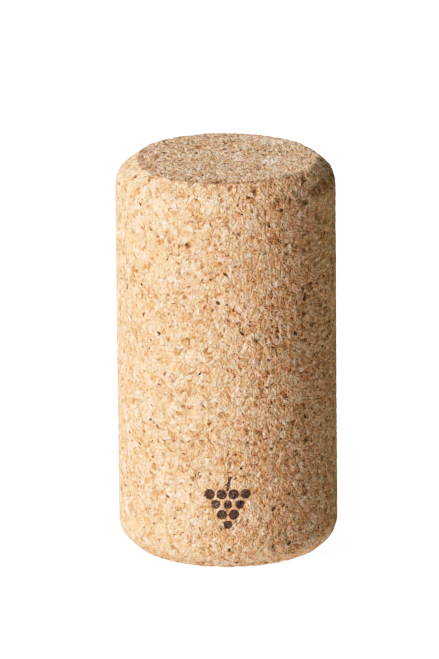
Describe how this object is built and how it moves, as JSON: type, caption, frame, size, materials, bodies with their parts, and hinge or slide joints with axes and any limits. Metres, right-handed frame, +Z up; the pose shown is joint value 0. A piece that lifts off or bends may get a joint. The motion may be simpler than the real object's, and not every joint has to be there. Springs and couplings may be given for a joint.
{
  "type": "wine cork",
  "caption": "Straight agglomerated cork stopper with chamfered ends, pressed into a bottle neck to seal it.",
  "frame": {"origin": "centre of the lower end face, which the cork stands on", "axes": "+Z up along the cork's axis, from the standing end to the upper end; +X to the right and -Y towards the viewer, as the picture shows it"},
  "size_m": [0.0242, 0.0242, 0.044],
  "materials": {
    "agglomerated_cork": "matt ground agglomerated cork: fine cream, tan and orange-brown granules with dark specks, thin brown binder lines and small open pits"
  },
  "bodies": {
    "root": {"cork": "agglomerated_cork"}
  },
  "joints": []
}
